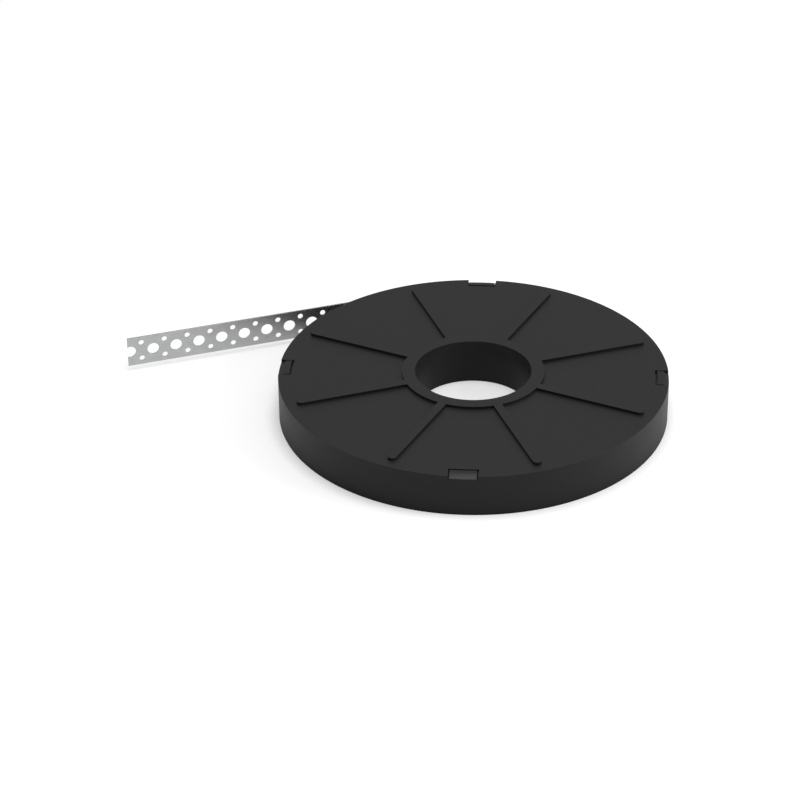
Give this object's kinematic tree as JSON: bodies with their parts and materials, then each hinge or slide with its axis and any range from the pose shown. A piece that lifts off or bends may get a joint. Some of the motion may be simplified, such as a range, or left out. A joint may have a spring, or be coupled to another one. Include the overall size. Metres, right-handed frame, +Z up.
{
  "type": "perforated steel strap",
  "caption": "Galvanised perforated steel strap wound in a flat round black dispenser case with a hub hole and a ribbed clip lid; its straight free end leaves through the rim.",
  "frame": {"origin": "on the axis of the hub bore, at the underside of the case", "axes": "+Z up along the hub bore, -X along the free end of the strap towards its cut, +Y from the hub towards the free end"},
  "size_m": [0.2695, 0.208, 0.0242],
  "materials": {
    "case_plastic": "satin black moulded plastic",
    "strap_steel": "galvanised"
  },
  "bodies": {
    "root": {"case_base": "case_plastic", "case_lid": "case_plastic", "strap": "strap_steel"}
  },
  "joints": []
}
